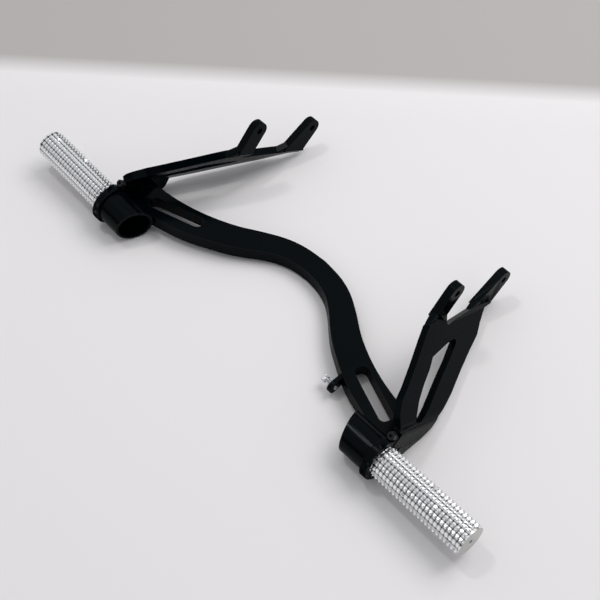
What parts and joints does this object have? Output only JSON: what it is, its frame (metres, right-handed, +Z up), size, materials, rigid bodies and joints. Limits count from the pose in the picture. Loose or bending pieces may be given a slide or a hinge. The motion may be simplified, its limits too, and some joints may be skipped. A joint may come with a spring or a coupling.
{
  "type": "rear sets footrest",
  "caption": "Motorbike footrest bracket: flat curved bow with split clamps at its ends, a forked arm rising from each, and toothed round pegs held in the clamps.",
  "frame": {"origin": "middle of the bounding box, on the floor that the clamp bands and the bow's front edge rest on", "axes": "+X to the rider's right, along the pegs; +Y forward, from the pegs towards the ears; +Z up, square to that floor"},
  "size_m": [0.5696, 0.2364, 0.0791],
  "materials": {
    "black_anodised": "black anodised, satin",
    "bare_aluminium": "machined, bare",
    "black_steel": "black oxide",
    "zinc_steel": "bright zinc plate"
  },
  "bodies": {
    "bracket": {"bracket_frame": "black_anodised", "right_pinch_screw": "black_steel", "left_pinch_screw": "black_steel", "right_pinch_washer": "black_steel", "left_pinch_washer": "black_steel"},
    "right_peg": {"right_peg": "bare_aluminium"},
    "left_peg": {"left_peg": "bare_aluminium"},
    "stop_screw": {"stop_screw": "zinc_steel"}
  },
  "joints": [
    {"name": "right_peg_slide", "type": "slide", "parent": "bracket", "child": "right_peg", "axis": [0.9989, 0, 0.0471], "range_m": [0, 0.015]},
    {"name": "left_peg_slide", "type": "slide", "parent": "bracket", "child": "left_peg", "axis": [-0.9989, 0, 0.0471], "range_m": [0, 0.015]},
    {"name": "stop_screw_slide", "type": "slide", "parent": "bracket", "child": "stop_screw", "axis": [1, 0, 0], "range_m": [-0.003, 0.006]}
  ]
}
